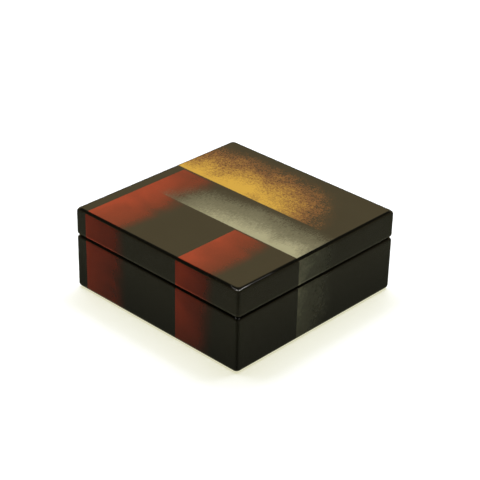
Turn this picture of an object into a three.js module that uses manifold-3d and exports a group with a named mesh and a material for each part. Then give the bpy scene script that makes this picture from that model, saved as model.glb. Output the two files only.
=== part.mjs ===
// A square lacquered wooden box with a lift-off lid. Millimetres, +Z up, the front is the -Y side and
// the origin is the middle of the underside. Mitred boards form the walls of the base and of the lid.
// Each corner is locked by a hidden spline, a thin lip inside the base keeps the lid in place, and the
// floor and the top are boards whose raised middle drops between the walls.
import * as THREE from "three";
import { mergeVertices } from "three/addons/utils/BufferGeometryUtils.js";
import Module from "manifold-3d";

const wasm = await Module();
wasm.setup();

// Outer form
const side = 120;
const height = 48.5;
const lidHeight = 16.3;
const cornerRadius = 2;
const lidTopRadius = 2;
const lidRimRadius = 2;
const baseRimRadius = 2;
const footRadius = 2.5;

// Boards
const wallThickness = 6;
const topThickness = 4;
const floorThickness = 4.8;
const tongueHeight = 1.2;

// Lip that the lid slides over
const lipThickness = 2.6;
const lipRise = 7;
const lipNoseRadius = 1.2;
const lipInnerRadius = 0.6;
const lidClearance = 0.4;
const reliefDrop = 0.5;

// Splines in the mitres
const splineThickness = 1.6;
const splineInset = 2;
const splineCover = 1.5;
const splineFit = 0.25;
const baseSplineStop = 4;
const lidSplineStop = 2.5;

// Felt under the base and lining on its floor
const feltThickness = 1;
const feltProud = 0.2;
const feltMargin = 8;
const feltCornerRadius = 3;
const feltFit = 0.3;
const liningThickness = 1.2;
const liningCornerRadius = 0.8;
const liningFit = 0.3;

// Glue line between boards
const glueLine = 0.1;

// Facets in a quarter turn of each rounding, and the distance at which two points are one
const arcSteps = 8;
const samePoint = 1e-4;

// Sizes that follow from those above
const half = side / 2;
const seam = height - lidHeight;
const inside = half - wallThickness;
const floorTop = feltProud + floorThickness;
const baseFloor = floorTop + tongueHeight;
const lidWallHeight = lidHeight - topThickness;
const tongueHalf = inside - glueLine;
const lipOuter = inside - glueLine;
const lipInner = lipOuter - lipThickness;
const lipHeight = seam + lipRise - baseFloor;
const splineMiddle = Math.SQRT2 * inside + splineInset + splineThickness / 2;
const splineReach = Math.SQRT2 * (wallThickness - splineCover) - splineInset - splineThickness;
const quarterTurn = Math.PI / 2;
const sides = ["front", "right", "back", "left"];
const corners = ["front_right", "back_right", "back_left", "front_left"];

const lacquer = new THREE.MeshStandardMaterial({ color: 0x14130f, roughness: 0.12, metalness: 0 });
const lacquerTop = new THREE.MeshStandardMaterial({ color: 0x2a1a12, roughness: 0.12, metalness: 0 });
const lipLacquer = new THREE.MeshStandardMaterial({ color: 0x0f0e0c, roughness: 0.2, metalness: 0 });
const bareWood = new THREE.MeshStandardMaterial({ color: 0xb08d5e, roughness: 0.75, metalness: 0 });
const blackFelt = new THREE.MeshStandardMaterial({ color: 0x121213, roughness: 0.95, metalness: 0 });
const redVelvet = new THREE.MeshStandardMaterial({ color: 0x571310, roughness: 0.9, metalness: 0 });

// Turns a closed geometry into a solid that can be cut and joined.
function solid(geometry) {
  const bare = geometry.index ? geometry.toNonIndexed() : geometry.clone();
  bare.deleteAttribute("normal");
  bare.deleteAttribute("uv");
  const merged = mergeVertices(bare, samePoint);
  return new wasm.Manifold(
    new wasm.Mesh({
      numProp: 3,
      vertProperties: merged.attributes.position.array,
      triVerts: new Uint32Array(merged.index.array),
    }),
  );
}

function geometryOf(body) {
  const mesh = body.getMesh();
  const geometry = new THREE.BufferGeometry();
  geometry.setAttribute("position", new THREE.BufferAttribute(mesh.vertProperties, 3));
  geometry.setIndex(new THREE.BufferAttribute(mesh.triVerts, 1));
  return geometry;
}

// Outline of a square with rounded corners, anticlockwise, as a shape.
function roundedSquare(halfWidth, radius) {
  const reach = halfWidth - radius;
  const shape = new THREE.Shape();
  [[1, 1], [-1, 1], [-1, -1], [1, -1]].forEach(([x, y], corner) => {
    const start = corner * quarterTurn;
    shape.absarc(x * reach, y * reach, radius, start, start + quarterTurn, false);
  });
  return shape;
}

// Levels of an arris rounded by a quarter circle, from its flat face to its upright one.
function arrisLevels(radius) {
  if (radius === 0) {
    return [{ inset: 0, rise: 0 }];
  }
  return Array.from({ length: arcSteps + 1 }, (_, step) => {
    const angle = (step / arcSteps) * quarterTurn;
    return { inset: radius * (1 - Math.sin(angle)), rise: radius * (1 - Math.cos(angle)) };
  });
}

// A square block with rounded upright corners, and with its lower and upper arrises rounded.
function roundedBlock(low, high, lowRadius, highRadius) {
  const levels = [
    ...arrisLevels(lowRadius).map(({ inset, rise }) => ({ inset, z: low + rise })),
    ...arrisLevels(highRadius).map(({ inset, rise }) => ({ inset, z: high - rise })).reverse(),
  ];
  const rings = levels.map(({ inset, z }) => {
    const outline = mergeEnds(roundedSquare(half - inset, cornerRadius).getPoints(arcSteps));
    return outline.map((point) => [point.x, point.y, z]);
  });
  const count = rings[0].length;
  const points = rings.flat();
  const foot = points.push([0, 0, low]) - 1;
  const head = points.push([0, 0, high]) - 1;
  const lastRing = (rings.length - 1) * count;
  const faces = [];
  for (let i = 0; i < count; i++) {
    const next = (i + 1) % count;
    faces.push(foot, next, i, head, lastRing + i, lastRing + next);
    for (let ring = 0; ring < lastRing; ring += count) {
      faces.push(ring + i, ring + next, ring + count + next);
      faces.push(ring + i, ring + count + next, ring + count + i);
    }
  }
  const geometry = new THREE.BufferGeometry();
  geometry.setAttribute("position", new THREE.Float32BufferAttribute(points.flat(), 3));
  geometry.setIndex(faces);
  return solid(geometry);
}

// Drops the last point of a closed outline where it repeats the first.
function mergeEnds(points) {
  return points[0].distanceTo(points.at(-1)) < samePoint ? points.slice(0, -1) : points;
}

function box(width, depth, low, high) {
  const geometry = new THREE.BoxGeometry(width, depth, high - low);
  return solid(geometry.translate(0, 0, (low + high) / 2));
}

// Everything between the two mitre planes of the front, less half a glue line on each.
function mitreWedge() {
  const triangle = new THREE.Shape();
  triangle.moveTo(0, 0);
  triangle.lineTo(-side, -side);
  triangle.lineTo(side, -side);
  triangle.closePath();
  const geometry = new THREE.ExtrudeGeometry(triangle, { depth: 3 * height, bevelEnabled: false });
  return solid(geometry.translate(0, -glueLine * Math.SQRT1_2, -height));
}

// The spline across the front right mitre, or with a gap round it the slot that it is glued into.
function splineGeometry(low, high, gap) {
  const geometry = new THREE.BoxGeometry(
    2 * (splineReach + gap),
    splineThickness + 2 * gap,
    high - low + 2 * gap,
  );
  geometry.rotateZ(quarterTurn / 2);
  const along = splineMiddle * Math.SQRT1_2;
  return geometry.translate(along, -along, (low + high) / 2);
}

// The front wall: a slice of the rounded block, hollowed, with a spline slot in each mitre.
function wallGeometry(low, high, lowRadius, highRadius, splineStop) {
  const slot = solid(splineGeometry(low + splineStop, high - splineStop, splineFit));
  const otherSlot = slot.rotate([0, 0, -90]);
  return geometryOf(
    roundedBlock(low, high, lowRadius, highRadius)
      .subtract(box(2 * inside, 2 * inside, low - height, high + height))
      .intersect(mitreWedge())
      .subtract(slot)
      .subtract(otherSlot),
  );
}

// The front lip strip, from the base's floor: glued to the wall below the seam and eased above it for
// the lid, with a rounded nose that leads the lid on.
function lipGeometry() {
  const eased = inside - lidClearance;
  const ledge = seam - baseFloor - reliefDrop;
  const section = new THREE.Shape();
  section.moveTo(lipInner, 0);
  section.lineTo(lipOuter, 0);
  section.lineTo(lipOuter, ledge);
  section.lineTo(eased, ledge);
  const roundArris = (middle, radius, start) =>
    section.absarc(middle, lipHeight - radius, radius, start, start + quarterTurn, false);
  roundArris(eased - lipNoseRadius, lipNoseRadius, 0);
  roundArris(lipInner + lipInnerRadius, lipInnerRadius, quarterTurn);
  section.closePath();
  const strip = new THREE.ExtrudeGeometry(section, {
    depth: side,
    bevelEnabled: false,
    curveSegments: arcSteps,
  });
  strip.translate(0, 0, -half);
  strip.applyMatrix4(
    new THREE.Matrix4().makeBasis(
      new THREE.Vector3(0, -1, 0),
      new THREE.Vector3(0, 0, 1),
      new THREE.Vector3(-1, 0, 0),
    ),
  );
  return geometryOf(solid(strip).intersect(mitreWedge()));
}

// The top board, from the top of the lid's walls, with its tongue between them.
function topGeometry() {
  return geometryOf(
    roundedBlock(0, topThickness, 0, Math.min(lidTopRadius, topThickness)).add(
      box(2 * tongueHalf, 2 * tongueHalf, -tongueHeight, topThickness / 2),
    ),
  );
}

// The floor board with its tongue, and a shallow recess underneath for the felt.
function floorGeometry() {
  const recess = sheetGeometry(half - feltMargin, feltCornerRadius, feltThickness);
  return geometryOf(
    roundedBlock(feltProud, floorTop, Math.min(footRadius, floorThickness), 0)
      .add(box(2 * tongueHalf, 2 * tongueHalf, floorTop - floorThickness / 2, baseFloor))
      .subtract(solid(recess)),
  );
}

function sheetGeometry(halfWidth, radius, thickness) {
  return new THREE.ExtrudeGeometry(roundedSquare(halfWidth, radius), {
    depth: thickness,
    bevelEnabled: false,
    curveSegments: arcSteps,
  });
}

function piece(name, geometry, material, place = {}) {
  const mesh = new THREE.Mesh(geometry, material);
  mesh.name = name;
  mesh.position.z = place.z ?? 0;
  mesh.rotation.z = (place.turns ?? 0) * quarterTurn;
  geometry.computeVertexNormals();
  return mesh;
}

// Four copies of a front piece, one for each side or corner, turned about the middle of the box.
function ring(prefix, names, geometry, material, z = 0) {
  return names.map((name, turns) => piece(`${prefix}_${name}`, geometry, material, { turns, z }));
}

function baseGroup() {
  const group = new THREE.Group();
  const wall = wallGeometry(floorTop, seam, 0, baseRimRadius, baseSplineStop);
  const spline = splineGeometry(floorTop + baseSplineStop, seam - baseSplineStop, 0);
  const felt = sheetGeometry(half - feltMargin - feltFit, feltCornerRadius, feltThickness);
  const lining = sheetGeometry(lipInner - liningFit, liningCornerRadius, liningThickness);
  group.add(
    piece("base_floor_board", floorGeometry(), lacquer),
    piece("base_felt", felt, blackFelt),
    piece("base_lining", lining, redVelvet, { z: baseFloor }),
    ...ring("base_wall", sides, wall, lacquer),
    ...ring("base_spline", corners, spline, bareWood),
    ...ring("base_lip", sides, lipGeometry(), lipLacquer, baseFloor),
  );
  return group;
}

function lidGroup() {
  const group = new THREE.Group();
  const wall = wallGeometry(0, lidWallHeight, lidRimRadius, 0, lidSplineStop);
  const spline = splineGeometry(lidSplineStop, lidWallHeight - lidSplineStop, 0);
  group.add(
    piece("lid_top_board", topGeometry(), lacquerTop, { z: lidWallHeight }),
    ...ring("lid_wall", sides, wall, lacquer),
    ...ring("lid_spline", corners, spline, bareWood),
  );
  group.position.z = seam;
  return group;
}

const lacquerBox = new THREE.Group();
lacquerBox.add(baseGroup(), lidGroup());

export default lacquerBox;
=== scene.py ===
"""A lacquer box: seamless lacquer over its boards, the lip strips, velvet and felt, in a soft studio."""

import math
from collections import namedtuple

import bmesh
import bpy
from bpy.props import FloatProperty, FloatVectorProperty, PointerProperty
from mathutils import Matrix, Vector


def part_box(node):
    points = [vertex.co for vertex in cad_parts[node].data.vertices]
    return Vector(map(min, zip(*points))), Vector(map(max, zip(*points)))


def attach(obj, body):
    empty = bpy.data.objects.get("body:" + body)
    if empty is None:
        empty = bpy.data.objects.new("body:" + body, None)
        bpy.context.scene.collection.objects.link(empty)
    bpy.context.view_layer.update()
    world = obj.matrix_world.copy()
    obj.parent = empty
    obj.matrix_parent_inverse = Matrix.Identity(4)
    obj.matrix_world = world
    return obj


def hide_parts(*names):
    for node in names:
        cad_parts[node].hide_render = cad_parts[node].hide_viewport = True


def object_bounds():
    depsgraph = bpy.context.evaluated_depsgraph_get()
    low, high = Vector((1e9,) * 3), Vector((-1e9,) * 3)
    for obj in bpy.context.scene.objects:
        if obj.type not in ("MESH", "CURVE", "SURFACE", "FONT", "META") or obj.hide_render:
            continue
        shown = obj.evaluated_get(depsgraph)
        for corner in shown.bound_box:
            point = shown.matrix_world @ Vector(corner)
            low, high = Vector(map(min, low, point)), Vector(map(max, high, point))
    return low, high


bl_info = {
    "name": "Lacquer Box",
    "version": (1, 0, 0),
    "blender": (4, 5, 0),
    "location": "View3D > Sidebar > Lacquer Box",
    "description": "Lacquers, lines and lights a wooden box with a lift-off lid",
    "category": "Object",
}

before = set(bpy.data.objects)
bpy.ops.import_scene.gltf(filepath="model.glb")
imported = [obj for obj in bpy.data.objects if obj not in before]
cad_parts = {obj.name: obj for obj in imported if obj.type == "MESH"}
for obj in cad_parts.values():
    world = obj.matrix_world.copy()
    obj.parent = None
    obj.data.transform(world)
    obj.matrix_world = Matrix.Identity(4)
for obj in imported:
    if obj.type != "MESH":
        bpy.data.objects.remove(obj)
SOLID_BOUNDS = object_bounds()

SIDES = ("front", "right", "back", "left")
BASE_BOARDS = ("base_floor_board", *(f"base_wall_{side}" for side in SIDES))
LID_BOARDS = ("lid_top_board", *(f"lid_wall_{side}" for side in SIDES))
CORNERS = ((1, 1), (-1, 1), (-1, -1), (1, -1))
ARC_STEPS = 10
SMOOTH_ANGLE = math.radians(35)

# Flats above this area get a narrow border that keeps their shading flat up to the roundings
SMALLEST_FLAT = 0.0002
FLAT_HOLD = 0.0003

# A vertex this near a place, in metres, counts as being there, and a face whose normal's share along
# an axis is this large counts as looking that way
SAME_PLACE = 1e-6
SAME_WAY = 0.99

# Sizes and places read from the frame
BOX_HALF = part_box("lid_top_board")[1].x
LID_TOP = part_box("lid_top_board")[1].z
LID_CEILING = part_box("lid_top_board")[0].z
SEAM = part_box("lid_wall_front")[0].z
INSIDE_HALF = -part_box("base_wall_front")[1].y
FOOT_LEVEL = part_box("base_floor_board")[0].z
INSIDE_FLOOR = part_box("base_floor_board")[1].z
FELT_LOW, FELT_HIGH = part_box("base_felt")
LINING_LOW, LINING_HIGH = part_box("base_lining")
LIP_LOW, LIP_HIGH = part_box("base_lip_front")

# One painted ribbon: it has a crisp edge and thins out from there over its reach. Along its run it
# is strongest at its middle, and it ends at its length either way.
Ribbon = namedtuple("Ribbon", "leaf edge reach middle length")
RIBBONS_ALONG_Y = (
    Ribbon("red", -0.052, 0.036, -0.060, 0.125),
    Ribbon("red", 0.016, 0.032, -0.056, 0.078),
)
RIBBONS_ALONG_X = (
    Ribbon("gold", 0.014, 0.046, -0.022, 0.080),
    Ribbon("silver", -0.016, 0.034, 0.040, 0.094),
)
# How coarsely each leaf is scattered, and how much of its brightness it keeps on the box's sides under
# painted shade
SPECKS = {"gold": 1.3, "silver": 0.9, "red": 0.3}
SIDE_SHADE_SHARES = {"red": 0.7, "gold": 0.37, "silver": 0.35}

# Where the lacquer's colour starts and stops changing, in metres: depths inside the side faces, depths
# below the lid's top for the ribbons and for the black, and distances from the seam
Fade = namedtuple("Fade", "start end")
SIDE_FADE = Fade(0.00045, 0.0002)
TOP_FADE = Fade(0.00006, 0.00001)
# Painted shade darkens the black on the lid's top arris and in the groove at the seam, up to these fades
ARRIS_SHADE_FADE = Fade(0.001, 0.0006)
SEAM_SHADE_FADE = Fade(0.0006, 0.0013)
# Painted reflection of the floor: the lid's lower arris is paler along a line at this height above the
# seam
REFLECTION_LINE = 0.0015
REFLECTION_FADE = Fade(0.0002, 0.0009)
# Painted shade: the black is darkest from this height down, and lightens up to the seam
FOOT_SHADE_LEVEL = 0.002

# The studio: lamps hang this high above the lid, and the floor lies just under the box
LAMP_HEIGHT = 0.876
LAMP_COLOUR = (1.0, 0.985, 0.94)
FLOOR_SIZE = 6
FLOOR_GAP = 0.00002
SENSOR_WIDTH = 36
# What each of two axes adds to a direction midway between them
DIAGONAL = 0.707
# Colour of the walls round it, by height from straight below at 0 to straight above at 1
WALL_GLOW = (
    (0.0, (0.17, 0.17, 0.12)),
    (0.56, (0.15, 0.15, 0.105)),
    (0.62, (0.12, 0.10, 0.06)),
    (0.68, (0.34, 0.26, 0.133)),
    (0.715, (0.425, 0.325, 0.166)),
    (0.76, (0.605, 0.462, 0.236)),
    (0.785, (0.63, 0.485, 0.248)),
    (0.805, (0.04, 0.04, 0.035)),
    (1.0, (0.05, 0.05, 0.045)),
)


class LacquerBoxShape(bpy.types.PropertyGroup):
    """Roundings and fits of the pieces."""

    corner_radius: FloatProperty(
        name="Corner radius",
        description="Rounding of the upright corners",
        default=0.002,
        min=0.0005,
        unit="LENGTH",
    )
    top_radius: FloatProperty(
        name="Top radius",
        description="Rounding of the arris round the lid's top",
        default=0.0023,
        min=0.0002,
        unit="LENGTH",
    )
    rim_radius: FloatProperty(
        name="Rim radius",
        description="Rounding of the two arrises that make the groove at the seam",
        default=0.002,
        min=0.0002,
        unit="LENGTH",
    )
    foot_radius: FloatProperty(
        name="Foot radius",
        description="Rounding of the arris round the foot",
        default=0.0025,
        min=0.0002,
        unit="LENGTH",
    )
    inner_radius: FloatProperty(
        name="Inner radius",
        description="Rounding of the corners between the walls inside",
        default=0.0003,
        min=0.0001,
        unit="LENGTH",
    )
    felt_recess: FloatProperty(
        name="Felt recess",
        description="Gap round the felt in its recess",
        default=0.0003,
        min=0.0001,
        unit="LENGTH",
    )
    lip_nose: FloatProperty(
        name="Lip nose",
        description="Rounding of the lip's outer top arris",
        default=0.0012,
        min=0.0001,
        unit="LENGTH",
    )
    lip_easing: FloatProperty(
        name="Lip easing",
        description="How far the lip stands back above its glued face",
        default=0.0003,
        min=0.0001,
        unit="LENGTH",
    )
    lip_ledge: FloatProperty(
        name="Lip ledge",
        description="How far below the seam the glued face ends",
        default=0.0005,
        min=0.0001,
        unit="LENGTH",
    )


class LacquerBoxFinish(bpy.types.PropertyGroup):
    """Colours of the finishes."""

    black: FloatVectorProperty(
        name="Black lacquer",
        description="Ground colour of the lacquer",
        default=(0.014, 0.013, 0.008),
        subtype="COLOR",
        min=0,
        max=1,
    )
    red: FloatVectorProperty(
        name="Red lacquer",
        description="Vermilion of the red ribbons where they are thickest",
        default=(0.238, 0.023, 0.008),
        subtype="COLOR",
        min=0,
        max=1,
    )
    gold: FloatVectorProperty(
        name="Gold powder",
        description="Gold where it is thickest",
        default=(0.62, 0.37, 0.05),
        subtype="COLOR",
        min=0,
        max=1,
    )
    copper: FloatVectorProperty(
        name="Thin gold",
        description="Gold where it thins over the lacquer",
        default=(0.19, 0.075, 0.022),
        subtype="COLOR",
        min=0,
        max=1,
    )
    silver: FloatVectorProperty(
        name="Silver powder",
        description="Silver where it is thickest",
        default=(0.37, 0.363, 0.236),
        subtype="COLOR",
        min=0,
        max=1,
    )
    velvet: FloatVectorProperty(
        name="Velvet",
        description="Colour of the lining's pile",
        default=(0.16, 0.008, 0.010),
        subtype="COLOR",
        min=0,
        max=1,
    )
    felt: FloatVectorProperty(
        name="Felt",
        description="Colour of the felt under the base",
        default=(0.016, 0.016, 0.017),
        subtype="COLOR",
        min=0,
        max=1,
    )
    wood: FloatVectorProperty(
        name="Spline wood",
        description="Colour of the bare splines in the mitres",
        default=(0.46, 0.29, 0.14),
        subtype="COLOR",
        min=0,
        max=1,
    )


class LacquerBoxStudio(bpy.types.PropertyGroup):
    """Camera and light."""

    azimuth: FloatProperty(
        name="Azimuth",
        description="Turn of the camera about the box, from the front towards the right",
        default=math.radians(43.431),
        subtype="ANGLE",
    )
    elevation: FloatProperty(
        name="Elevation",
        description="Height of the camera above the horizon",
        default=math.radians(29.52),
        subtype="ANGLE",
    )
    distance: FloatProperty(
        name="Distance",
        description="From the middle of the box to the camera",
        default=0.8166,
        min=0.1,
        unit="LENGTH",
    )
    lens: FloatProperty(
        name="Focal length",
        description="Focal length in millimetres on a sensor 36 mm wide",
        default=113.805,
        min=10,
    )
    aim_right: FloatProperty(
        name="Aim to the right",
        description="How far right of the box's middle the camera aims",
        default=0.002734,
        unit="LENGTH",
    )
    aim_up: FloatProperty(
        name="Aim upwards",
        description="How far above the box's middle the camera aims",
        default=0.004541,
        unit="LENGTH",
    )
    roll: FloatProperty(
        name="Roll",
        description="Turn of the camera about its own axis",
        default=math.radians(1.379),
        subtype="ANGLE",
    )
    soft_box_power: FloatProperty(
        name="Soft boxes",
        description="Power of the right soft box in watts, with the left one a little weaker",
        default=9.0,
        min=0,
    )
    card_power: FloatProperty(
        name="Highlight cards",
        description="Power of the card that the right arris mirrors, in watts, with the left one stronger",
        default=8.2,
        min=0,
    )


class Nodes:
    """Adds nodes to one tree. A value for a socket is another node's socket or a plain value."""

    # How the nodes are laid out in the editor, in rows and columns
    COLUMN = 190
    ROWS = 6
    ROW = 260

    # Which sockets of a Mix node belong to colours: its factor and two colours, and the result
    MIX_INPUTS = (0, 6, 7)
    MIX_RESULT = 2

    def __init__(self, tree):
        self.tree = tree

    def add(self, kind, values=(), **settings):
        place = len(self.tree.nodes)
        node = self.tree.nodes.new(kind)
        node.location = (place // self.ROWS * self.COLUMN, -(place % self.ROWS) * self.ROW)
        for setting, value in settings.items():
            setattr(node, setting, value)
        for socket, value in dict(values).items():
            self.feed(node.inputs[socket], value)
        return node

    def feed(self, socket, value):
        if isinstance(value, bpy.types.NodeSocket):
            self.tree.links.new(value, socket)
        else:
            socket.default_value = value

    def math(self, operation, *values, clamp=False):
        return self.add(
            "ShaderNodeMath", enumerate(values), operation=operation, use_clamp=clamp
        ).outputs["Value"]

    def span(self, value, low, high, start=0.0, end=1.0, smooth=True):
        """Takes a value from one range to another, held at the ends."""
        ends = {"Value": value, "From Min": low, "From Max": high, "To Min": start, "To Max": end}
        kind = "SMOOTHSTEP" if smooth else "LINEAR"
        return self.add("ShaderNodeMapRange", ends, interpolation_type=kind).outputs["Result"]

    def mix(self, share, first, second, blend="MIX"):
        node = self.add("ShaderNodeMix", data_type="RGBA", blend_type=blend, clamp_factor=True)
        for index, value in zip(self.MIX_INPUTS, (share, first, second)):
            self.feed(node.inputs[index], value)
        return node.outputs[self.MIX_RESULT]

    def noise(self, vector, scale, detail=2.0, roughness=0.5, distortion=0.0):
        values = {
            "Vector": vector,
            "Scale": scale,
            "Detail": detail,
            "Roughness": roughness,
            "Distortion": distortion,
        }
        return self.add("ShaderNodeTexNoise", values).outputs["Fac"]

    def stretch(self, vector, scale):
        return self.add("ShaderNodeMapping", {"Vector": vector, "Scale": scale}).outputs["Vector"]

    def ramp(self, value, stops):
        node = self.add("ShaderNodeValToRGB", {"Fac": value})
        elements = node.color_ramp.elements
        while len(elements) < len(stops):
            elements.new(0.5)
        for element, (position, colour) in zip(elements, stops):
            element.position = position
            element.color = (*colour, 1)
        return node.outputs["Color"]


def start_group(name, inputs, outputs):
    """Makes a node group with number and vector sockets, and gives its nodes, way in and way out."""
    tree = bpy.data.node_groups.new(name, "ShaderNodeTree")
    for label, default in inputs.items():
        kind = "NodeSocketVector" if default is None else "NodeSocketFloat"
        socket = tree.interface.new_socket(label, in_out="INPUT", socket_type=kind)
        if default is not None:
            socket.default_value = default
    for label in outputs:
        tree.interface.new_socket(label, in_out="OUTPUT", socket_type="NodeSocketFloat")
    nodes = Nodes(tree)
    way_in = nodes.add("NodeGroupInput").outputs
    way_out = nodes.add("NodeGroupOutput").inputs
    return nodes, way_in, way_out


def make_ribbon_group():
    """How thickly a ribbon covers a point, how bright it is there, and how much it hides below it."""
    inputs = {
        "Across": 0.0,
        "Along": 0.0,
        "Edge": 0.0,
        "Reach": 0.03,
        "Middle": 0.0,
        "Length": 0.1,
        "Grain": 0.5,
        "Cloud": 0.5,
        "Speck": 0.2,
    }
    nodes, given, made = start_group("Dusted ribbon", inputs, ("Tone", "Cover", "Shadow"))

    # The leaf's thickness falls from its edge and towards both ends
    depth = nodes.math("SUBTRACT", given["Across"], given["Edge"])
    from_edge = nodes.math("DIVIDE", depth, given["Reach"])
    crisp = nodes.span(from_edge, -0.008, 0.008)
    left_over = nodes.span(from_edge, 0.0, 1.0, start=1.0, end=0.0, smooth=False)
    thinning = nodes.math("POWER", left_over, 1.3)
    off_middle = nodes.math("ABSOLUTE", nodes.math("SUBTRACT", given["Along"], given["Middle"]))
    share_along = nodes.math("DIVIDE", off_middle, given["Length"])
    ending = nodes.span(share_along, 0.2, 1.0, start=1.0, end=0.0)
    breath = nodes.span(given["Cloud"], 0.0, 1.0, start=0.7, end=1.25, smooth=False)
    body = nodes.math("MULTIPLY", nodes.math("MULTIPLY", thinning, ending), breath)

    # Grains scatter it, least where it is thinnest and where it is thickest
    swing = nodes.math("MULTIPLY", nodes.math("SUBTRACT", given["Grain"], 0.5), given["Speck"])
    room = nodes.math("MULTIPLY", body, nodes.math("SUBTRACT", 1.3, body))
    dusted = nodes.math("ADD", body, nodes.math("MULTIPLY", swing, room), clamp=True)
    powder = nodes.span(dusted, 0.04, 0.3)

    # It hides what it crosses from just before its edge to where it has thinned out
    near = nodes.span(from_edge, -0.06, 0.0)
    wide = nodes.span(from_edge, 0.3, 0.9, start=1.0, end=0.0)
    lasting = nodes.span(share_along, 0.45, 0.9, start=1.0, end=0.0)
    nodes.feed(made["Tone"], dusted)
    nodes.feed(made["Cover"], nodes.math("MULTIPLY", powder, crisp))
    nodes.feed(made["Shadow"], nodes.math("MULTIPLY", nodes.math("MULTIPLY", near, wide), lasting))


def make_film_group():
    """The polished film of lacquer: slow waves, and haze where it was rubbed down."""
    inputs = {"Vector": None, "Wave Scale": 40.0, "Gloss": 0.3, "Haze": 0.1}
    nodes, given, made = start_group("Lacquer film", inputs, ("Height", "Roughness"))
    waves = nodes.noise(given["Vector"], given["Wave Scale"], detail=1.0, roughness=0.4)
    nibs = nodes.noise(given["Vector"], scale=1600.0, detail=0.0)
    raised = nodes.span(nibs, 0.74, 0.86, start=0.0, end=0.35)
    nodes.feed(made["Height"], nodes.math("ADD", waves, raised))
    strokes = nodes.stretch(given["Vector"], (1.0, 9.0, 9.0))
    rubbing = nodes.noise(strokes, scale=90.0, detail=3.0, roughness=0.6)
    clouds = nodes.noise(given["Vector"], scale=28.0)
    haze = nodes.math("MULTIPLY", nodes.math("MULTIPLY", rubbing, clouds), given["Haze"])
    nodes.feed(made["Roughness"], nodes.math("ADD", given["Gloss"], haze))


def make_fibre_group():
    """Short fibres: their height, and how light or dark they lie."""
    inputs = {"Vector": None, "Fibre Scale": 2500.0, "Lay Scale": 30.0}
    nodes, given, made = start_group("Fibres", inputs, ("Height", "Shade"))
    fibres = nodes.noise(given["Vector"], given["Fibre Scale"], roughness=0.7)
    drawn_out = nodes.stretch(given["Vector"], (1.0, 0.25, 1.0))
    strands = nodes.noise(drawn_out, given["Fibre Scale"], detail=1.0, distortion=1.5)
    lay = nodes.noise(
        given["Vector"], given["Lay Scale"], detail=3.0, roughness=0.55, distortion=0.6
    )
    nodes.feed(made["Height"], nodes.math("ADD", fibres, nodes.math("MULTIPLY", strands, 0.6)))
    shade = nodes.math("ADD", nodes.math("MULTIPLY", fibres, 0.5), nodes.math("MULTIPLY", lay, 0.9))
    nodes.feed(made["Shade"], nodes.span(shade, 0.35, 1.05, smooth=False))


def shaded(colour, share):
    """A darker shade of a colour, or a lighter one where the share is above 1."""
    return [channel * share for channel in colour]


def blended(first, second, share):
    """A colour between two others."""
    return [a + (b - a) * share for a, b in zip(first, second)]


def start_material(name, **sockets):
    """A new material with one Principled BSDF, whose constant values are set on its own sockets."""
    material = bpy.data.materials.new(name)
    material.use_nodes = True
    nodes = Nodes(material.node_tree)
    shader = material.node_tree.nodes["Principled BSDF"]
    for socket, value in sockets.items():
        shader.inputs[socket.replace("_", " ")].default_value = value
    place = nodes.add("ShaderNodeTexCoord").outputs["Object"]
    return nodes, shader, place


def place_group(nodes, name, values):
    """Adds one of the node groups to a material, and gives its outputs."""
    return nodes.add("ShaderNodeGroup", values, node_tree=bpy.data.node_groups[name]).outputs


def add_bump(nodes, shader, height, depth, strength=1.0):
    """Makes the surface uneven by a height times a depth in metres."""
    bump = nodes.add("ShaderNodeBump", {"Strength": strength, "Distance": depth, "Height": height})
    nodes.feed(shader.inputs["Normal"], bump.outputs["Normal"])


def make_powders(nodes, place):
    """Scattering of each leaf: sprinkled grains, brushed streaks and a soft spray, from 0 to 1."""
    flakes = nodes.add("ShaderNodeTexVoronoi", {"Vector": place, "Scale": 1500.0}).outputs["Color"]
    flake = nodes.add("ShaderNodeSeparateColor", {"Color": flakes}).outputs["Red"]

    def scatter(vector, scale, detail):
        noise = nodes.noise(vector, scale, detail, roughness=0.65)
        return nodes.span(noise, 0.3, 0.7, smooth=False)

    def with_flakes(share, scattered):
        flaked = nodes.math("MULTIPLY", flake, share)
        return nodes.math("ADD", flaked, nodes.math("MULTIPLY", scattered, 1.0 - share))

    brushed = nodes.stretch(place, (1.0, 0.25, 0.25))
    return {
        "gold": with_flakes(0.65, scatter(place, scale=420.0, detail=4.0)),
        "silver": with_flakes(0.3, scatter(brushed, scale=1400.0, detail=3.0)),
        "red": scatter(place, scale=900.0, detail=3.0),
    }


def lay_ribbons(nodes, ribbons, across, along, powders, cloud):
    """One node of the ribbon group for each ribbon that runs the same way."""
    laid = []
    for ribbon in ribbons:
        values = {
            "Across": across,
            "Along": along,
            "Edge": ribbon.edge,
            "Reach": ribbon.reach,
            "Middle": ribbon.middle,
            "Length": ribbon.length,
            "Grain": powders[ribbon.leaf],
            "Cloud": cloud,
            "Speck": SPECKS[ribbon.leaf],
        }
        laid.append({"leaf": ribbon.leaf, **place_group(nodes, "Dusted ribbon", values)})
    return laid


def pass_over(nodes, upper, lower):
    """Hides the lower ribbons where the upper ones cross them."""
    for over in upper:
        left_open = nodes.math("SUBTRACT", 1.0, over["Shadow"])
        for under in lower:
            under["Cover"] = nodes.math("MULTIPLY", under["Cover"], left_open)


def unfold(nodes, along, fall):
    """How far along its run a point of a ribbon lies, where the ribbon goes on down the sides."""
    return nodes.math("ADD", along, nodes.math("MULTIPLY", nodes.math("SIGN", along), fall))


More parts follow.
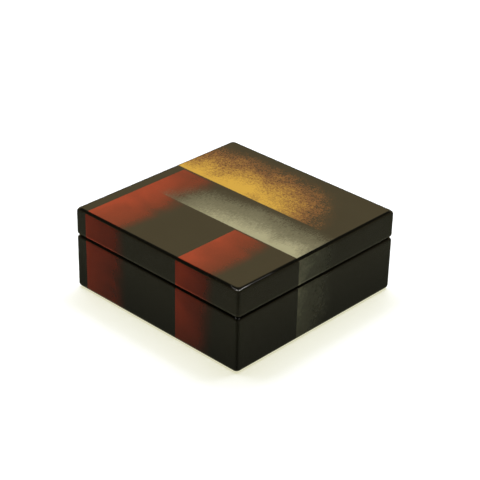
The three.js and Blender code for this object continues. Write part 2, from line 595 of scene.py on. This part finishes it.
def find_flats(nodes, axes, above_seam):
    """Masks of the sides, of the lid's top, and of all that is clear of the top arris and the seam."""
    off_middle = [nodes.math("ABSOLUTE", axes[name]) for name in "XY"]
    wide = nodes.math("MAXIMUM", *off_middle)
    on_side = nodes.span(wide, BOX_HALF - SIDE_FADE.start, BOX_HALF - SIDE_FADE.end)
    on_top = nodes.span(axes["Z"], LID_TOP - TOP_FADE.start, LID_TOP - TOP_FADE.end)
    arris_start, arris_end = LID_TOP - ARRIS_SHADE_FADE.start, LID_TOP - ARRIS_SHADE_FADE.end
    below_arris = nodes.span(axes["Z"], arris_start, arris_end, start=1.0, end=0.0)
    off_seam = nodes.span(nodes.math("ABSOLUTE", above_seam), SEAM_SHADE_FADE.start, SEAM_SHADE_FADE.end)
    clear = nodes.math("MAXIMUM", on_top, nodes.math("MULTIPLY", below_arris, off_seam))
    return on_side, on_top, clear


def mix_ground(nodes, finish, place, height, clear):
    """Black lacquer, a little mottled, with painted shade on the top arris, at the seam and towards the
    foot.
    """
    # Painted shade: off the flats, on the top arris and in the seam's groove, the black is a fifth as
    # bright
    ground = nodes.mix(clear, (*shaded(finish.black, 0.2), 1), (*finish.black, 1))
    # Painted shade: the base's black grows darker towards the foot
    painted_foot_shade = nodes.span(height, FOOT_SHADE_LEVEL, SEAM, start=0.1, end=1.0, smooth=False)
    ground = nodes.mix(1.0, ground, painted_foot_shade, "MULTIPLY")
    clouds = nodes.noise(place, scale=60.0, detail=3.0)
    mottle = nodes.span(clouds, 0.25, 0.75, start=0.93, end=1.07)
    return nodes.mix(1.0, ground, mottle, "MULTIPLY")


def mix_tints(finish):
    """The colours of each leaf, from where it is thinnest to where it is thickest."""
    return {
        "red": (
            (0.0, shaded(finish.red, 0.2)),
            (0.45, shaded(finish.red, 0.6)),
            (0.95, finish.red),
        ),
        "gold": (
            (0.0, shaded(finish.copper, 0.3)),
            (0.3, finish.copper),
            (0.55, blended(finish.copper, finish.gold, 0.5)),
            (0.85, finish.gold),
        ),
        "silver": (
            (0.0, shaded(finish.silver, 0.16)),
            (0.5, shaded(finish.silver, 0.44)),
            (0.9, finish.silver),
        ),
    }


def make_banded_lacquer(finish):
    """Black lacquer with crossing ribbons of red lacquer, gold and silver powder under a clear coat."""
    nodes, shader, place = start_material(
        "Banded lacquer",
        Coat_Weight=1.0,
        Coat_Roughness=0.04,
        Coat_IOR=1.5,
        Specular_IOR_Level=0.0,
    )
    axes = nodes.add("ShaderNodeSeparateXYZ", {"Vector": place}).outputs
    fall = nodes.math("SUBTRACT", LID_TOP, axes["Z"])
    powders = make_powders(nodes, place)
    cloud = nodes.span(nodes.noise(place, scale=42.0, distortion=0.5), 0.25, 0.75)
    along_x, along_y = unfold(nodes, axes["X"], fall), unfold(nodes, axes["Y"], fall)
    columns = lay_ribbons(nodes, RIBBONS_ALONG_Y, axes["X"], along_y, powders, cloud)
    rows = lay_ribbons(nodes, RIBBONS_ALONG_X, axes["Y"], along_x, powders, cloud)
    pass_over(nodes, rows, columns)

    above_seam = nodes.math("SUBTRACT", axes["Z"], SEAM)
    on_side, on_top, clear = find_flats(nodes, axes, above_seam)
    outside = nodes.math("MAXIMUM", on_side, on_top)
    colour = mix_ground(nodes, finish, place, axes["Z"], clear)
    tints = mix_tints(finish)
    metal = 0.0
    for ribbon in columns + rows:
        leaf = ribbon["leaf"]
        cover = nodes.math("MULTIPLY", ribbon["Cover"], outside)
        paint = nodes.ramp(ribbon["Tone"], tints[leaf])
        # Painted shade: each leaf is darker on the box's sides than on the lid's top
        painted_side_shade = nodes.span(on_side, 0.0, 1.0, start=1.0, end=SIDE_SHADE_SHARES[leaf], smooth=False)
        colour = nodes.mix(cover, colour, nodes.mix(1.0, paint, painted_side_shade, "MULTIPLY"))
        if leaf != "red":
            metal = nodes.math("MAXIMUM", metal, cover)
    # Painted reflection of the floor: the colour is brightened along a line on the lid's lower arris
    from_reflection_line = nodes.math("ABSOLUTE", nodes.math("SUBTRACT", above_seam, REFLECTION_LINE))
    rubbed = nodes.span(from_reflection_line, REFLECTION_FADE.start, REFLECTION_FADE.end, start=1.7, end=1.0)
    nodes.feed(shader.inputs["Base Color"], nodes.mix(1.0, colour, rubbed, "MULTIPLY"))
    nodes.feed(shader.inputs["Metallic"], nodes.math("MULTIPLY", metal, 0.4))

    film = place_group(nodes, "Lacquer film", {"Vector": place, "Gloss": 0.4, "Haze": 0.3})
    nodes.feed(shader.inputs["Roughness"], film["Roughness"])
    add_bump(nodes, shader, film["Height"], depth=0.00002)


def make_lip_lacquer(finish):
    """Thin black lacquer on the lip, dulled where the lid slides."""
    nodes, shader, place = start_material(
        "Lip lacquer",
        Coat_Weight=0.6,
        Coat_Roughness=0.12,
        Coat_IOR=1.5,
        Specular_IOR_Level=0.3,
    )
    height = nodes.add("ShaderNodeSeparateXYZ", {"Vector": place}).outputs["Z"]
    flattened = nodes.stretch(place, (1.0, 1.0, 6.0))
    scuffs = nodes.noise(flattened, scale=240.0, detail=4.0, roughness=0.65)
    high = nodes.span(height, SEAM, LIP_HIGH.z)
    rubbed = nodes.math("MULTIPLY", nodes.span(scuffs, 0.45, 0.75), high)
    worn = shaded(finish.black, 3.0)
    nodes.feed(shader.inputs["Base Color"], nodes.mix(rubbed, (*finish.black, 1), (*worn, 1)))
    film_values = {"Vector": place, "Wave Scale": 90.0, "Gloss": 0.28, "Haze": 0.5}
    film = place_group(nodes, "Lacquer film", film_values)
    dulling = nodes.math("MULTIPLY", rubbed, 0.25)
    nodes.feed(shader.inputs["Roughness"], nodes.math("ADD", film["Roughness"], dulling))
    add_bump(nodes, shader, film["Height"], depth=0.00003)


def make_velvet(finish):
    """Short-pile velvet, lighter where its pile was brushed the other way."""
    nodes, shader, place = start_material(
        "Velvet",
        Roughness=0.85,
        Specular_IOR_Level=0.2,
        Sheen_Weight=0.8,
        Sheen_Roughness=0.35,
        Sheen_Tint=(1.0, 0.35, 0.32, 1.0),
    )
    fibre_values = {"Vector": place, "Fibre Scale": 2600.0, "Lay Scale": 34.0}
    fibres = place_group(nodes, "Fibres", fibre_values)
    dark = shaded(finish.velvet, 0.5)
    light = shaded(finish.velvet, 1.6)
    nodes.feed(shader.inputs["Base Color"], nodes.mix(fibres["Shade"], (*dark, 1), (*light, 1)))
    add_bump(nodes, shader, fibres["Height"], depth=0.0003, strength=0.6)


def make_pressed_felt(finish):
    """Black felt pressed into a sheet."""
    nodes, shader, place = start_material(
        "Pressed felt",
        Roughness=0.95,
        Specular_IOR_Level=0.15,
        Sheen_Weight=0.3,
        Sheen_Roughness=0.6,
    )
    fibre_values = {"Vector": place, "Fibre Scale": 1400.0, "Lay Scale": 60.0}
    fibres = place_group(nodes, "Fibres", fibre_values)
    light = shaded(finish.felt, 2.2)
    felt = nodes.mix(fibres["Shade"], (*finish.felt, 1), (*light, 1))
    nodes.feed(shader.inputs["Base Color"], felt)
    add_bump(nodes, shader, fibres["Height"], depth=0.0004, strength=0.8)


def make_spline_wood(finish):
    """Bare hardwood with its grain upright."""
    nodes, shader, place = start_material("Spline wood", Specular_IOR_Level=0.3)
    upright = nodes.stretch(place, (1.0, 1.0, 0.06))
    grain = nodes.noise(upright, scale=900.0, detail=4.0, roughness=0.6, distortion=0.4)
    dark = shaded(finish.wood, 0.55)
    share = nodes.span(grain, 0.35, 0.65)
    nodes.feed(shader.inputs["Base Color"], nodes.mix(share, (*dark, 1), (*finish.wood, 1)))
    nodes.feed(shader.inputs["Roughness"], nodes.span(grain, 0.3, 0.7, start=0.8, end=0.6))
    add_bump(nodes, shader, grain, depth=0.0001)


def make_floor_paint():
    """Plain pale floor with a faint unevenness, lit from below as on a light table, more so far away."""
    nodes, shader, place = start_material(
        "Studio floor",
        Specular_IOR_Level=0.0,
        Emission_Color=(0.665, 0.65, 0.455, 1.0),
    )
    away = nodes.add("ShaderNodeVectorMath", {0: place}, operation="LENGTH").outputs["Value"]
    glow = nodes.span(away, 0.3, 1.2, start=1.0, end=2.2)
    nodes.feed(shader.inputs["Emission Strength"], glow)
    uneven = nodes.noise(place, scale=3.0)
    paint = nodes.mix(uneven, (0.415, 0.45, 0.645, 1), (0.44, 0.475, 0.675, 1))
    nodes.feed(shader.inputs["Base Color"], paint)
    nodes.feed(shader.inputs["Roughness"], nodes.span(uneven, 0.0, 1.0, start=0.75, end=0.85))


def finish_piece(piece, material, body, nodes_replaced):
    """Leaves edit mode, smooths and paints a piece, and ties it to its body and the nodes it replaces."""
    if bpy.context.mode == "EDIT_MESH":
        bpy.ops.object.mode_set(mode="OBJECT")
    bpy.ops.object.select_all(action="DESELECT")
    piece.select_set(True)
    bpy.context.view_layer.objects.active = piece
    bpy.ops.object.shade_smooth_by_angle(angle=SMOOTH_ANGLE)
    piece.data.materials.clear()
    piece.data.materials.append(bpy.data.materials[material])
    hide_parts(*nodes_replaced)
    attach(piece, body)


def select_where(piece, kind, test):
    """Selects only the vertices, edges or faces that pass a test, on a piece in edit mode."""
    bpy.ops.mesh.select_all(action="DESELECT")
    mesh = bmesh.from_edit_mesh(piece.data)
    for part in [part for part in getattr(mesh, kind) if test(part)]:
        part.select_set(True)
    mesh.select_flush_mode()
    bmesh.update_edit_mesh(piece.data)


class RoundedSquare:
    """A square with rounded corners that is drawn up into a shell, one extruded step at a time."""

    def __init__(self, name, half, z, radius):
        bpy.ops.object.select_all(action="DESELECT")
        bpy.ops.mesh.primitive_plane_add(size=2 * half, location=(0, 0, z))
        self.piece = bpy.context.object
        self.piece.name = self.piece.data.name = name
        bpy.ops.object.transform_apply()
        bpy.ops.object.mode_set(mode="EDIT")
        bpy.ops.mesh.select_mode(type="VERT")
        bpy.ops.mesh.select_all(action="SELECT")
        bpy.ops.mesh.bevel(
            offset=radius, offset_type="OFFSET", segments=ARC_STEPS, affect="VERTICES"
        )
        bpy.ops.mesh.select_all(action="SELECT")
        self.half, self.z, self.radius = half, z, radius

    def step(self, half, z, radius=None):
        """Extrudes the outline to a new half width and height, and rounds its corners anew."""
        radius = self.radius if radius is None else radius
        bpy.ops.mesh.extrude_region_move(TRANSFORM_OT_translate={"value": (0, 0, z - self.z)})
        grown = half / self.half
        bpy.ops.transform.resize(value=(grown, grown, 1), center_override=(0, 0, z))
        rounding = radius / (self.radius * grown)
        mesh = bmesh.from_edit_mesh(self.piece.data)
        outline = {vertex.index for vertex in mesh.verts if vertex.select}
        for x_sign, y_sign in CORNERS:
            select_where(
                self.piece,
                "verts",
                lambda v: v.index in outline and v.co.x * x_sign > 0 and v.co.y * y_sign > 0,
            )
            bpy.ops.transform.resize(
                value=(rounding, rounding, 1),
                center_override=(x_sign * half, y_sign * half, z),
            )
        select_where(self.piece, "verts", lambda v: v.index in outline)
        self.half, self.z, self.radius = half, z, radius

    def round_outwards(self, half, radius):
        """A quarter circle from the flat underneath out to the upright side."""
        low = self.z
        for step in range(1, ARC_STEPS + 1):
            angle = math.pi / 2 * step / ARC_STEPS
            out, down = radius * math.sin(angle), radius * math.cos(angle)
            self.step(half - radius + out, low + radius - down)

    def round_inwards(self, high, radius):
        """A quarter circle from the upright side in to the flat on top."""
        wide = self.half
        for step in range(1, ARC_STEPS + 1):
            angle = math.pi / 2 * step / ARC_STEPS
            out, up = radius * math.cos(angle), radius * math.sin(angle)
            self.step(wide - radius + out, high - radius + up)

    def hold_flats(self):
        """Insets each large flat a little, so that its shading stays flat up to the roundings."""
        bpy.ops.mesh.select_mode(type="FACE")
        select_where(self.piece, "faces", lambda f: f.calc_area() > SMALLEST_FLAT)
        bpy.ops.mesh.inset(thickness=FLAT_HOLD, use_individual=True)
        bpy.ops.mesh.select_all(action="SELECT")
        bpy.ops.mesh.normals_make_consistent(inside=False)


class LACQUERBOX_OT_base_shell(bpy.types.Operator):
    """Models the lacquered body of the base, from the felt's recess round foot and rim to its floor"""

    bl_idname = "lacquer_box.base_shell"
    bl_label = "Base shell"

    def execute(self, context):
        shape = context.scene.lacquer_box_shape
        recess_half = FELT_HIGH.x + shape.felt_recess
        shell = RoundedSquare("base_shell", recess_half, FELT_HIGH.z, shape.corner_radius)
        shell.step(recess_half, FOOT_LEVEL)
        shell.step(BOX_HALF - shape.foot_radius, FOOT_LEVEL)
        shell.round_outwards(BOX_HALF, shape.foot_radius)
        shell.step(BOX_HALF, SEAM - shape.rim_radius)
        shell.round_inwards(SEAM, shape.rim_radius)
        shell.step(INSIDE_HALF, SEAM, shape.inner_radius)
        shell.step(INSIDE_HALF, INSIDE_FLOOR)
        shell.hold_flats()
        finish_piece(shell.piece, "Banded lacquer", "base", BASE_BOARDS)
        return {"FINISHED"}


class LACQUERBOX_OT_lid_shell(bpy.types.Operator):
    """Models the lacquered lid, from its ceiling round the rim and over the top"""

    bl_idname = "lacquer_box.lid_shell"
    bl_label = "Lid shell"

    def execute(self, context):
        shape = context.scene.lacquer_box_shape
        shell = RoundedSquare("lid_shell", INSIDE_HALF, LID_CEILING, shape.inner_radius)
        shell.step(INSIDE_HALF, SEAM)
        shell.step(BOX_HALF - shape.rim_radius, SEAM, shape.corner_radius)
        shell.round_outwards(BOX_HALF, shape.rim_radius)
        shell.step(BOX_HALF, LID_TOP - shape.top_radius)
        shell.round_inwards(LID_TOP, shape.top_radius)
        shell.hold_flats()
        finish_piece(shell.piece, "Banded lacquer", "lid", LID_BOARDS)
        return {"FINISHED"}


class LACQUERBOX_OT_lip_strips(bpy.types.Operator):
    """Models the front lip strip, mitres its ends and copies it round the other three sides"""

    bl_idname = "lacquer_box.lip_strips"
    bl_label = "Lip strips"

    SOFT_ARRIS = 0.00012

    def execute(self, context):
        shape = context.scene.lacquer_box_shape
        glued_face = LIP_LOW.y
        eased_face = glued_face + shape.lip_easing
        ledge = SEAM - shape.lip_ledge
        middle = Vector((0, (eased_face + LIP_HIGH.y) / 2, (LIP_LOW.z + LIP_HIGH.z) / 2))
        size = (-2 * glued_face, LIP_HIGH.y - eased_face, LIP_HIGH.z - LIP_LOW.z)
        bpy.ops.object.select_all(action="DESELECT")
        bpy.ops.mesh.primitive_cube_add(size=1, location=middle, scale=size)
        strip = bpy.context.object
        bpy.ops.object.transform_apply()
        bpy.ops.object.mode_set(mode="EDIT")
        self.round_nose(strip, shape, eased_face)
        self.step_out(strip, ledge, shape.lip_easing)
        self.mitre()
        bpy.ops.object.mode_set(mode="OBJECT")
        self.soften(strip)
        strips = [strip]
        for turns in range(1, len(SIDES)):
            copy = strip.copy()
            copy.data = strip.data.copy()
            context.collection.objects.link(copy)
            copy.data.transform(Matrix.Rotation(turns * math.pi / 2, 4, "Z"))
            strips.append(copy)
        for side, piece in zip(SIDES, strips):
            piece.name = piece.data.name = f"lip_{side}"
            finish_piece(piece, "Lip lacquer", "base", (f"base_lip_{side}",))
        return {"FINISHED"}

    def round_nose(self, strip, shape, eased_face):
        """Rounds the two long arrises at the top."""
        bpy.ops.mesh.select_mode(type="EDGE")
        for face, radius in ((eased_face, shape.lip_nose), (LIP_HIGH.y, shape.lip_nose / 2)):
            corner = Vector((face, LIP_HIGH.z))
            select_where(
                strip,
                "edges",
                lambda e: all((v.co.yz - corner).length < SAME_PLACE for v in e.verts),
            )
            bpy.ops.mesh.bevel(offset=radius, segments=ARC_STEPS, affect="EDGES")

    def step_out(self, strip, ledge, easing):
        """Brings the outer face out to the wall below the ledge, where it is glued."""
        bpy.ops.mesh.select_all(action="SELECT")
        bpy.ops.mesh.bisect(plane_co=(0, 0, ledge), plane_no=(0, 0, 1))
        bpy.ops.mesh.select_mode(type="FACE")
        select_where(
            strip,
            "faces",
            lambda f: f.normal.y < -SAME_WAY and f.calc_center_median().z < ledge,
        )
        bpy.ops.mesh.extrude_region_move(TRANSFORM_OT_translate={"value": (0, -easing, 0)})

    def mitre(self):
        """Cuts both ends at 45 degrees, so that the four strips meet at the box's diagonals."""
        outer_corner = LIP_HIGH.x
        for sign in (1, -1):
            bpy.ops.mesh.select_all(action="SELECT")
            bpy.ops.mesh.bisect(
                plane_co=(sign * outer_corner, LIP_LOW.y, 0),
                plane_no=(sign, 1, 0),
                use_fill=True,
                clear_outer=True,
            )

    def soften(self, strip):
        """Takes the sharpness off the remaining arrises."""
        bevel = strip.modifiers.new("Soft arris", "BEVEL")
        bevel.width = self.SOFT_ARRIS
        bevel.segments = 2
        bevel.limit_method = "ANGLE"
        bevel.angle_limit = SMOOTH_ANGLE
        bpy.ops.object.modifier_apply(modifier=bevel.name)


class LACQUERBOX_OT_lining(bpy.types.Operator):
    """Models the velvet on the floor inside, rolled down at its edges and a little uneven"""

    bl_idname = "lacquer_box.lining"
    bl_label = "Velvet lining"

    CORNER_RADIUS = 0.0008
    UPRIGHT_SHARE = 0.35
    BORDER = 0.002
    FACE_SIZE = 0.0006
    SWELL_LENGTH = 0.018
    SWELL_HEIGHT = 0.0005

    def execute(self, context):
        half = LINING_HIGH.x
        thickness = LINING_HIGH.z - LINING_LOW.z
        pad = RoundedSquare("velvet_lining", half, LINING_LOW.z, self.CORNER_RADIUS)
        pad.step(half, LINING_LOW.z + thickness * self.UPRIGHT_SHARE)
        pad.round_inwards(LINING_HIGH.z, thickness * (1 - self.UPRIGHT_SHARE))
        piece = pad.piece
        bpy.ops.mesh.select_mode(type="FACE")
        select_where(
            piece,
            "faces",
            lambda f: f.normal.z > SAME_WAY and f.calc_area() > SMALLEST_FLAT,
        )
        bpy.ops.mesh.inset(thickness=self.BORDER)
        bpy.ops.mesh.select_all(action="SELECT")
        bpy.ops.mesh.normals_make_consistent(inside=False)
        bpy.ops.object.mode_set(mode="OBJECT")
        self.roll(piece)
        finish_piece(piece, "Velvet", "base", ("base_lining",))
        return {"FINISHED"}

    def roll(self, piece):
        """Covers the pad evenly with small faces and lets its top rise and fall."""
        remesh = piece.modifiers.new("Even faces", "REMESH")
        remesh.mode = "VOXEL"
        remesh.voxel_size = self.FACE_SIZE
        bpy.ops.object.modifier_apply(modifier=remesh.name)
        waves = bpy.data.textures.new("Pad unevenness", "CLOUDS")
        waves.noise_scale = self.SWELL_LENGTH
        waves.noise_depth = 1
        swell = piece.modifiers.new("Unevenness", "DISPLACE")
        swell.texture = waves
        swell.texture_coords = "LOCAL"
        swell.direction = "Z"
        swell.strength = self.SWELL_HEIGHT
        swell.mid_level = 0.5
        bpy.ops.object.modifier_apply(modifier=swell.name)
        smooth = piece.modifiers.new("Soft pile", "SMOOTH")
        smooth.iterations = 4
        bpy.ops.object.modifier_apply(modifier=smooth.name)


class LACQUERBOX_OT_felt(bpy.types.Operator):
    """Models the felt glued into the recess under the base"""

    bl_idname = "lacquer_box.felt"
    bl_label = "Felt"

    CORNER_RADIUS = 0.003
    EDGE_RADIUS = 0.0002

    def execute(self, context):
        half = FELT_HIGH.x
        inner_half = half - self.EDGE_RADIUS
        sheet = RoundedSquare("felt_sheet", inner_half, FELT_LOW.z, self.CORNER_RADIUS)
        sheet.round_outwards(half, self.EDGE_RADIUS)
        sheet.step(half, FELT_HIGH.z)
        sheet.hold_flats()
        finish_piece(sheet.piece, "Pressed felt", "base", ("base_felt",))
        return {"FINISHED"}


class LACQUERBOX_OT_splines(bpy.types.Operator):
    """Gives the splines in the mitres their bare wood"""

    bl_idname = "lacquer_box.splines"
    bl_label = "Splines"

    def execute(self, context):
        wood = bpy.data.materials["Spline wood"]
        for name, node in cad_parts.items():
            if "_spline_" in name:
                node.data.materials.clear()
                node.data.materials.append(wood)
        return {"FINISHED"}


class LACQUERBOX_OT_finishes(bpy.types.Operator):
    """Mixes the lacquers, velvet, felt and bare wood"""

    bl_idname = "lacquer_box.finishes"
    bl_label = "Finishes"

    def execute(self, context):
        finish = context.scene.lacquer_box_finish
        make_ribbon_group()
        make_film_group()
        make_fibre_group()
        makers = (
            make_banded_lacquer,
            make_lip_lacquer,
            make_velvet,
            make_pressed_felt,
            make_spline_wood,
        )
        for make in makers:
            make(finish)
        return {"FINISHED"}


class LACQUERBOX_OT_stage(bpy.types.Operator):
    """Sets the box on a pale floor under soft light, with the camera above its near corner"""

    bl_idname = "lacquer_box.stage"
    bl_label = "Studio"

    def execute(self, context):
        studio = context.scene.lacquer_box_studio
        middle = (SOLID_BOUNDS[0] + SOLID_BOUNDS[1]) / 2
        self.add_floor()
        soft, card = studio.soft_box_power, studio.card_power
        self.add_lamp("Right soft box", (0.0, 0.411), size=(0.70, 0.422), power=soft)
        self.add_lamp("Left soft box", (-0.362, -0.025), size=(0.384, 0.65), power=soft * 0.85)
        self.add_card("Right card", (0.345, 0.268), size=(0.15, 0.736), power=card)
        self.add_card("Card fade", (0.305, 0.665), size=(0.07, 0.05), power=card * 0.006)
        self.add_card("Left card", (-0.3035, -0.335), size=(0.507, 0.17), power=card * 1.2)
        self.add_surroundings(context.scene)
        self.add_camera(context.scene, studio, middle)
        context.scene.view_settings.view_transform = "Standard"
        return {"FINISHED"}

    def add_floor(self):
        """Lays a floor that the lacquer doesn't mirror."""
        bpy.ops.object.select_all(action="DESELECT")
        level = SOLID_BOUNDS[0].z - FLOOR_GAP
        bpy.ops.mesh.primitive_plane_add(size=FLOOR_SIZE, location=(0, 0, level))
        floor = bpy.context.object
        floor.name = "studio_floor"
        make_floor_paint()
        floor.data.materials.append(bpy.data.materials["Studio floor"])
        floor.visible_glossy = False

    def add_lamp(self, name, place, size, power):
        """Hangs a level lamp above the box that lights it but isn't mirrored in the lacquer."""
        bpy.ops.object.light_add(type="AREA", location=(*place, LID_TOP + LAMP_HEIGHT))
        lamp = bpy.context.object
        lamp.name = name
        lamp.data.shape = "RECTANGLE"
        lamp.data.size, lamp.data.size_y = size
        lamp.data.energy = power
        lamp.data.color = LAMP_COLOUR
        lamp.visible_glossy = False
        return lamp

    def add_card(self, name, place, size, power):
        """Hangs a lamp that only shows as a highlight in the lacquer."""
        lamp = self.add_lamp(name, place, size, power)
        lamp.visible_diffuse = False
        lamp.visible_glossy = True

    def add_surroundings(self, scene):
        """Walls that glow softly at the height of a table lamp behind the box, and are dim elsewhere."""
        world = bpy.data.worlds.new("Studio walls")
        scene.world = world
        world.use_nodes = True
        nodes = Nodes(world.node_tree)
        direction = nodes.add("ShaderNodeTexCoord").outputs["Generated"]
        axes = nodes.add("ShaderNodeSeparateXYZ", {"Vector": direction}).outputs
        glow = nodes.ramp(nodes.span(axes["Z"], -1.0, 1.0, smooth=False), WALL_GLOW)

        # Low down the walls glow all round except behind the camera, and higher up only behind the box
        backwards = nodes.math("SUBTRACT", axes["Y"], axes["X"])
        behind = nodes.math("MULTIPLY", backwards, DIAGONAL)
        below = nodes.span(behind, -0.86, -0.6, start=0.25, end=1.0)
        above = nodes.span(behind, 0.1, 0.5, start=0.15, end=1.0)
        share = nodes.span(axes["Z"], 0.26, 0.42, start=below, end=above)
        walls = nodes.mix(1.0, glow, share, "MULTIPLY")
        seen = nodes.add("ShaderNodeLightPath").outputs["Is Camera Ray"]
        background = world.node_tree.nodes["Background"]
        nodes.feed(background.inputs["Color"], nodes.mix(seen, walls, (1, 1, 1, 1)))

    def add_camera(self, scene, studio, middle):
        """Places the camera by its turn and height about the box's middle, and aims it beside that."""
        turn, rise = studio.azimuth, studio.elevation
        back = Vector(
            (math.sin(turn) * math.cos(rise), -math.cos(turn) * math.cos(rise), math.sin(rise))
        )
        right = Vector((math.cos(turn), math.sin(turn), 0))
        spot = middle + back * studio.distance
        aim = middle + right * studio.aim_right + back.cross(right) * studio.aim_up
        axis = (spot - aim).normalized()
        across = Vector((0, 0, 1)).cross(axis).normalized()
        level = Matrix((across, axis.cross(across), axis)).transposed()
        data = bpy.data.cameras.new("Camera")
        data.lens = studio.lens
        data.sensor_width = SENSOR_WIDTH
        camera = bpy.data.objects.new("Camera", data)
        scene.collection.objects.link(camera)
        turned = level.to_4x4() @ Matrix.Rotation(studio.roll, 4, "Z")
        camera.matrix_world = Matrix.Translation(spot) @ turned
        scene.camera = camera


class LACQUERBOX_PT_sidebar(bpy.types.Panel):
    """Lists the pieces and their settings in the 3D view's sidebar"""

    bl_idname = "LACQUERBOX_PT_sidebar"
    bl_label = "Lacquer Box"
    bl_space_type = "VIEW_3D"
    bl_region_type = "UI"
    bl_category = "Lacquer Box"

    def draw(self, context):
        layout = self.layout
        for operator in OPERATORS:
            layout.operator(operator.bl_idname)
        for group in (
            context.scene.lacquer_box_shape,
            context.scene.lacquer_box_finish,
            context.scene.lacquer_box_studio,
        ):
            column = layout.column()
            for name in type(group).__annotations__:
                column.prop(group, name)


OPERATORS = (
    LACQUERBOX_OT_finishes,
    LACQUERBOX_OT_base_shell,
    LACQUERBOX_OT_lid_shell,
    LACQUERBOX_OT_lip_strips,
    LACQUERBOX_OT_lining,
    LACQUERBOX_OT_felt,
    LACQUERBOX_OT_splines,
    LACQUERBOX_OT_stage,
)
SETTINGS = {
    "lacquer_box_shape": LacquerBoxShape,
    "lacquer_box_finish": LacquerBoxFinish,
    "lacquer_box_studio": LacquerBoxStudio,
}
CLASSES = (*SETTINGS.values(), *OPERATORS, LACQUERBOX_PT_sidebar)


def register():
    for added in CLASSES:
        bpy.utils.register_class(added)
    for name, group in SETTINGS.items():
        setattr(bpy.types.Scene, name, PointerProperty(type=group))


def unregister():
    for name in SETTINGS:
        delattr(bpy.types.Scene, name)
    for added in reversed(CLASSES):
        bpy.utils.unregister_class(added)


def main():
    register()
    bpy.ops.lacquer_box.finishes()
    bpy.ops.lacquer_box.base_shell()
    bpy.ops.lacquer_box.lid_shell()
    bpy.ops.lacquer_box.lip_strips()
    bpy.ops.lacquer_box.lining()
    bpy.ops.lacquer_box.felt()
    bpy.ops.lacquer_box.splines()
    bpy.ops.lacquer_box.stage()


if __name__ == "__main__":
    main()
